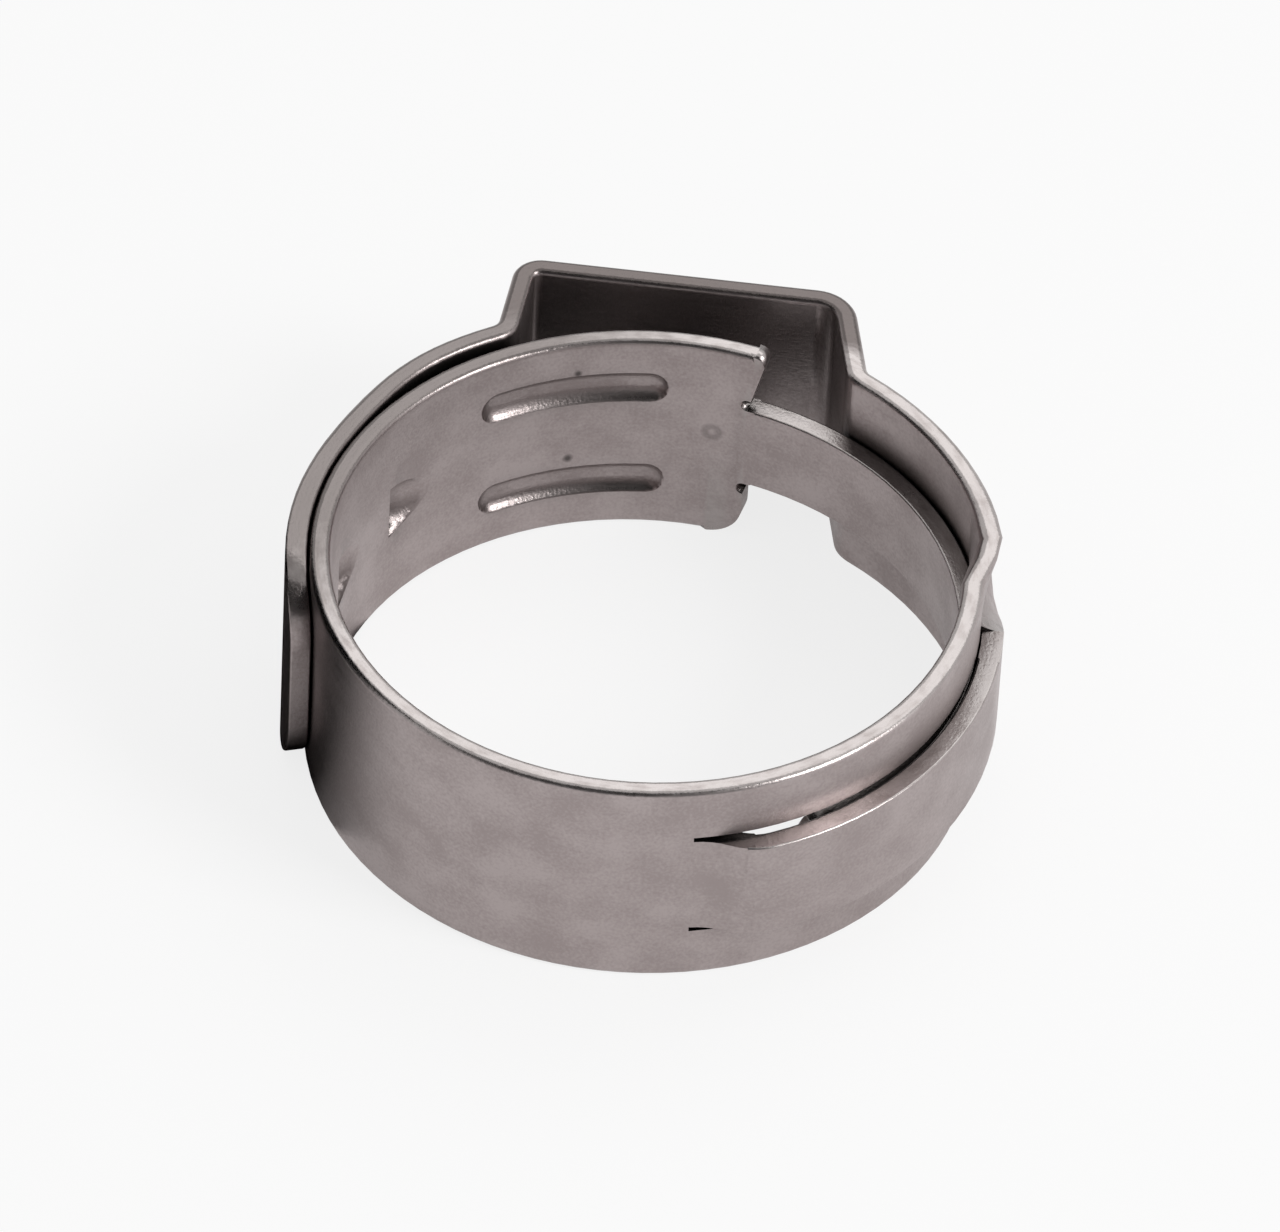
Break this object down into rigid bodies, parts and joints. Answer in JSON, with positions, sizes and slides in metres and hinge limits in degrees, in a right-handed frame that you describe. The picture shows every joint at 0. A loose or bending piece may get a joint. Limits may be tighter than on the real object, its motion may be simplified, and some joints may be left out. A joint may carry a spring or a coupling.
{
  "type": "ear hose clamp",
  "caption": "One-ear stepless pinch clamp folded from one stainless steel strip, for fixing a hose or flexible pipe on a barbed fitting.",
  "frame": {"origin": "on the bore's axis, in the plane of the lower rim", "axes": "+Z along the bore's axis; the ear stands on the +Y side; +X is the channel's side"},
  "size_m": [0.0201, 0.021, 0.007],
  "materials": {
    "stainless_steel": "satin mill finish with sheared, slightly bright edges"
  },
  "bodies": {
    "root": {"clamp_band": "stainless_steel"}
  },
  "joints": []
}
